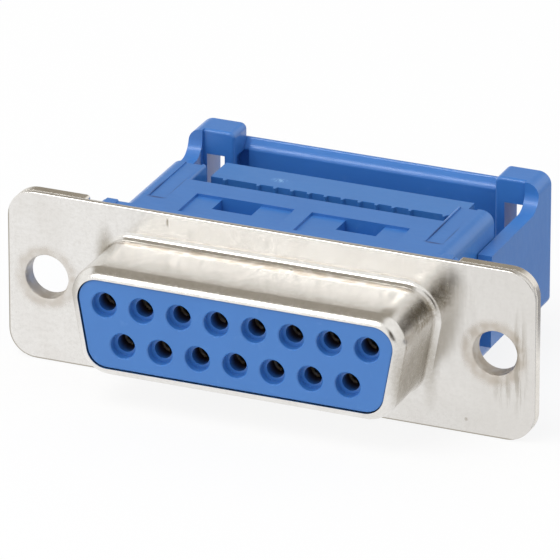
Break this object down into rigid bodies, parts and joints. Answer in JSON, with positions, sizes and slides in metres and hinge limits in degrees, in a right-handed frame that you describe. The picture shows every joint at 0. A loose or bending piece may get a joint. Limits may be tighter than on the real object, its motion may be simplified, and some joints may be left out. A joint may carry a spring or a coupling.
{
  "type": "d-sub connector",
  "caption": "Ribbon-cable D-sub socket connector: drawn metal shell with eyelet ears, moulded housing, press-on cable cover and clip-on strain relief.",
  "frame": {"origin": "on the front face of the flange, midway between the two mounting holes", "axes": "+X along the flange, +Y away from the mating face towards the cable, +Z towards the wide side of the D"},
  "size_m": [0.0392, 0.0255, 0.0126],
  "materials": {
    "plated_steel": "nickel plated, satin",
    "ear_steel": "nickel plated, satin",
    "blue_housing": "moulded, fine texture",
    "blue_cover": "moulded, fine texture",
    "blue_relief": "moulded, fine texture",
    "contact_metal": "plated"
  },
  "bodies": {
    "connector": {"front_shell": "plated_steel", "rear_ear_left": "ear_steel", "rear_ear_right": "ear_steel", "housing": "blue_housing", "contact_01": "contact_metal", "contact_02": "contact_metal", "contact_03": "contact_metal", "contact_04": "contact_metal", "contact_05": "contact_metal", "contact_06": "contact_metal", "contact_07": "contact_metal", "contact_08": "contact_metal", "contact_09": "contact_metal", "contact_10": "contact_metal", "contact_11": "contact_metal", "contact_12": "contact_metal", "contact_13": "contact_metal", "contact_14": "contact_metal", "contact_15": "contact_metal"},
    "cover": {"cable_cover": "blue_cover"},
    "relief": {"strain_relief": "blue_relief"}
  },
  "joints": [
    {"name": "cover_press", "type": "slide", "parent": "connector", "child": "cover", "axis": [0, -1, 0], "range_m": [0, 0.0023]},
    {"name": "relief_press", "type": "slide", "parent": "connector", "child": "relief", "axis": [0, -1, 0], "range_m": [0, 0.004]}
  ]
}
